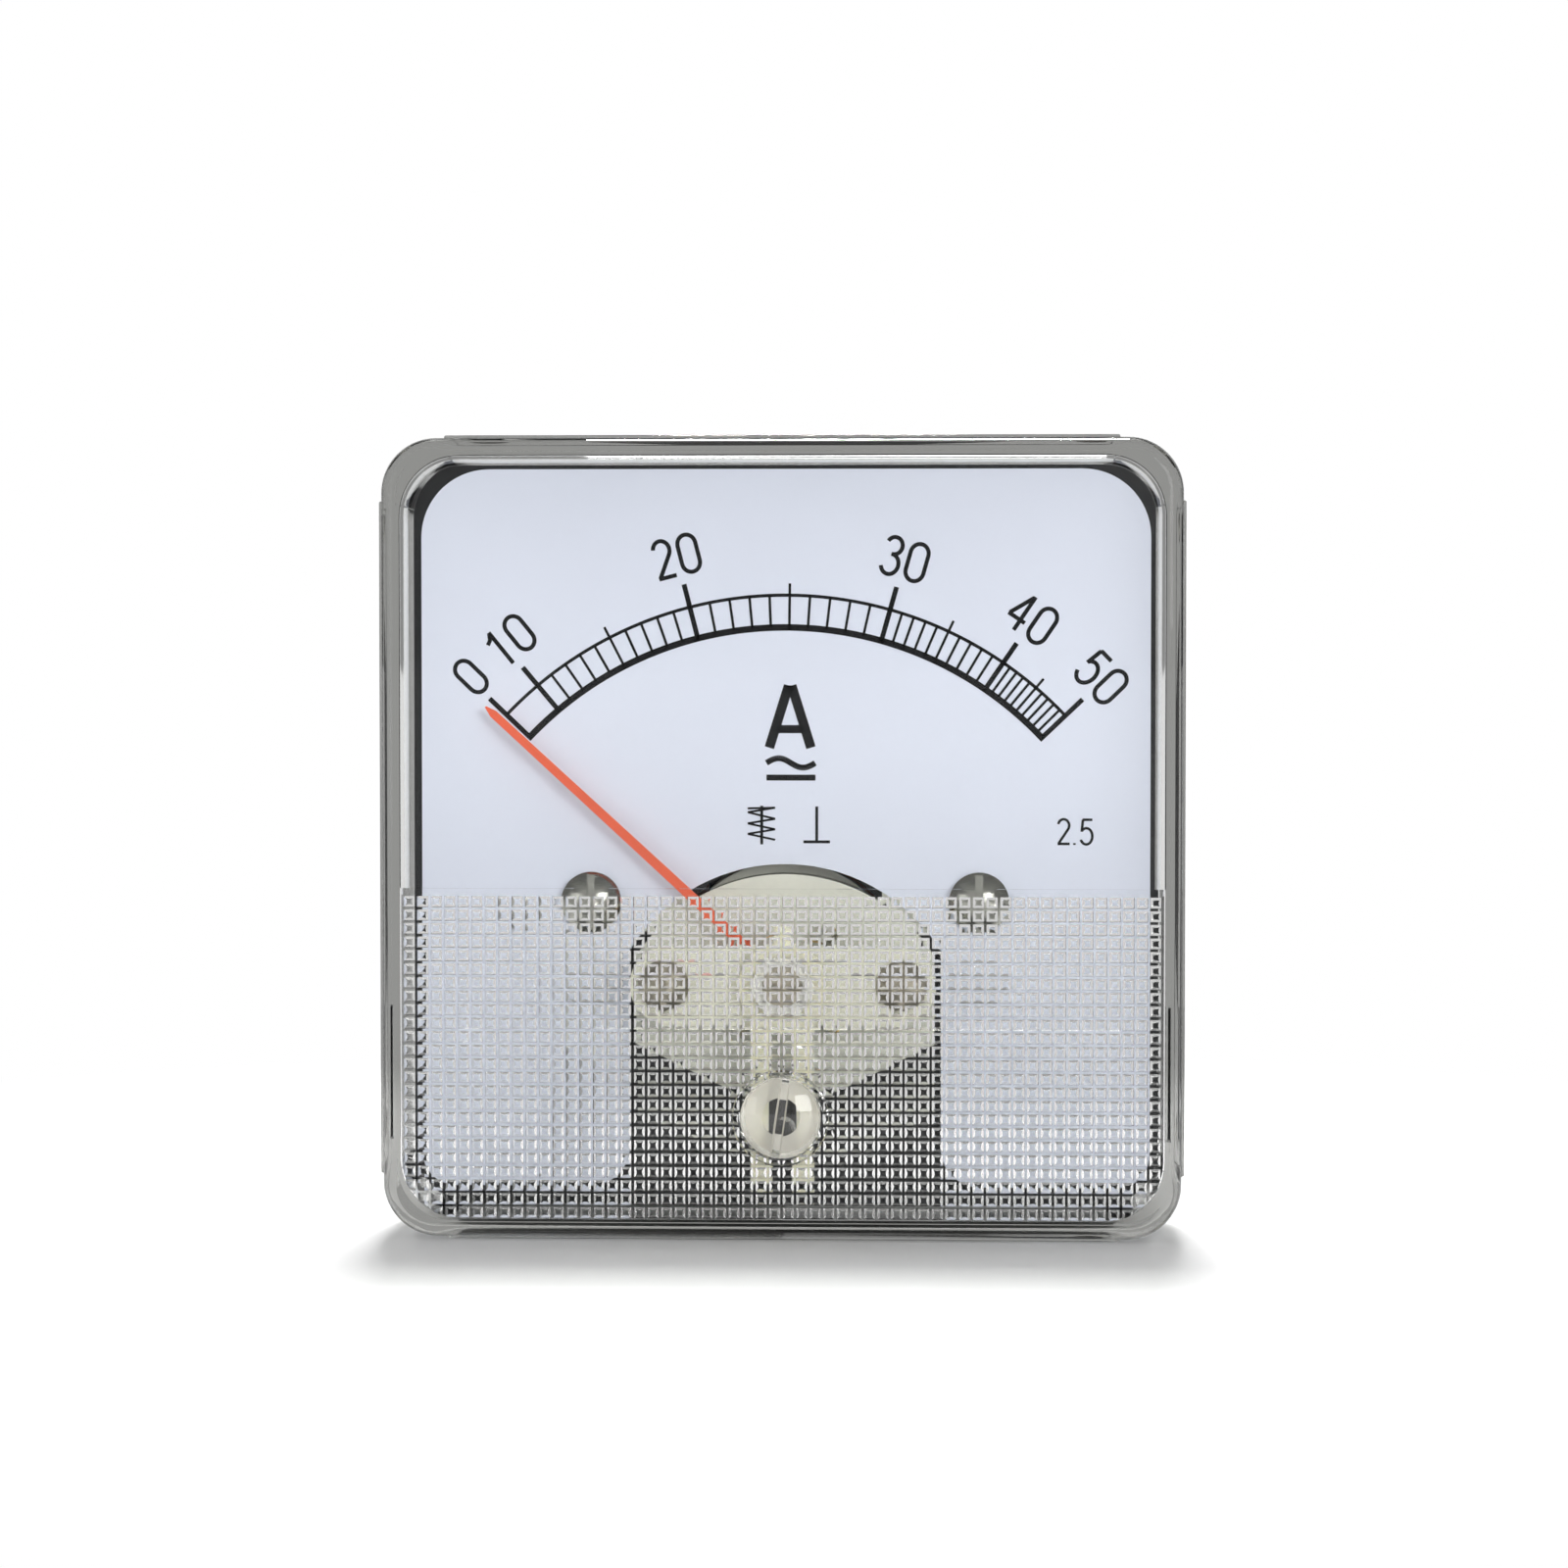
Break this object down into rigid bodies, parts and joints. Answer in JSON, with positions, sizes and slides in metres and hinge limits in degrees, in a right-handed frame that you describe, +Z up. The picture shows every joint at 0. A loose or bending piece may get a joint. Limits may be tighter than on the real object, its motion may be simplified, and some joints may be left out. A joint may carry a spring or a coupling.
{
  "type": "analog panel meter",
  "caption": "Square flush panel ammeter with a clear cover, white dial and moving pointer, round rear barrel, stud fixing and two screw terminals.",
  "frame": {"origin": "centre of the panel seat plane, on the barrel's axis", "axes": "+Z up, front faces -Y, +X to the right seen from the front, terminals towards +Y"},
  "size_m": [0.06, 0.0555, 0.06],
  "materials": {
    "clear_acrylic": "clear and polished, moulded",
    "black_moulding": "satin black moulding",
    "nickel_plate": "bright nickel plate",
    "dial_enamel": "smooth white enamel on aluminium",
    "cream_moulding": "matt grey-cream moulding",
    "turned_brass": "turned brass",
    "spring_bronze": "rolled phosphor bronze strip",
    "jewel_ruby": "polished synthetic ruby",
    "yellow_moulding": "pale yellow natural nylon, slightly translucent",
    "polished_steel": "polished hardened steel",
    "pointer_paint": "orange-red paint on aluminium",
    "sheet_aluminium": "rolled aluminium sheet",
    "soft_iron": "annealed soft iron sheet, dull grey",
    "bare_copper": "bright drawn copper"
  },
  "bodies": {
    "housing": {"front_cover": "clear_acrylic", "base_housing": "black_moulding", "mounting_stud_top_left": "nickel_plate", "mounting_stud_top_right": "nickel_plate", "mounting_stud_bottom_left": "nickel_plate", "mounting_stud_bottom_right": "nickel_plate", "dial_plate": "dial_enamel", "dial_screw_left": "nickel_plate", "dial_screw_right": "nickel_plate", "movement_frame": "cream_moulding", "damping_cover": "cream_moulding", "front_bridge": "cream_moulding", "bridge_screw_left": "nickel_plate", "bridge_screw_right": "nickel_plate", "front_bearing_screw": "turned_brass", "front_jewel": "jewel_ruby", "front_lock_nut": "nickel_plate", "fixed_iron": "soft_iron", "coil_former": "cream_moulding", "coil": "bare_copper", "rear_bridge": "cream_moulding", "rear_bridge_screw_left": "nickel_plate", "rear_bridge_screw_right": "nickel_plate", "rear_bearing_screw": "turned_brass", "rear_jewel": "jewel_ruby", "rear_lock_nut": "nickel_plate", "lead_strap_left": "bare_copper", "lead_strap_right": "bare_copper", "terminal_stud_left": "turned_brass", "terminal_stud_right": "turned_brass", "fixing_nut_left": "turned_brass", "fixing_nut_right": "turned_brass", "terminal_washer_left": "turned_brass", "terminal_washer_right": "turned_brass", "spring_washer_left": "nickel_plate", "spring_washer_right": "nickel_plate", "terminal_nut_left": "turned_brass", "terminal_nut_right": "turned_brass"},
    "adjuster": {"zero_adjuster": "clear_acrylic"},
    "lever": {"zero_lever": "yellow_moulding"},
    "moving_system": {"staff": "polished_steel", "spring_collet": "turned_brass", "pointer_hub": "turned_brass", "pointer": "pointer_paint", "tail_weight": "nickel_plate", "cross_weight_left": "nickel_plate", "cross_weight_right": "nickel_plate", "damping_vane": "sheet_aluminium", "iron_carrier": "sheet_aluminium", "moving_iron": "soft_iron", "hairspring": "spring_bronze"}
  },
  "joints": [
    {"name": "adjuster_turn", "type": "hinge", "parent": "housing", "child": "adjuster", "pos_m": [0, -0.0136, -0.0207], "axis": [0, 1, 0], "range_deg": [-40, 40]},
    {"name": "lever_swing", "type": "hinge", "parent": "housing", "child": "lever", "pos_m": [0, -0.0095, -0.0112], "axis": [0, 1, 0], "range_deg": [-3.9, 3.9]},
    {"name": "pointer_swing", "type": "hinge", "parent": "lever", "child": "moving_system", "pos_m": [0, -0.006, -0.0112], "axis": [0, 1, 0], "range_deg": [-2, 96], "stiffness_Nm_per_rad": 0.00005, "deforming": ["hairspring"]}
  ],
  "couplings": [
    {"joint": "lever_swing", "follows": "adjuster_turn", "ratio": 0.0952}
  ]
}
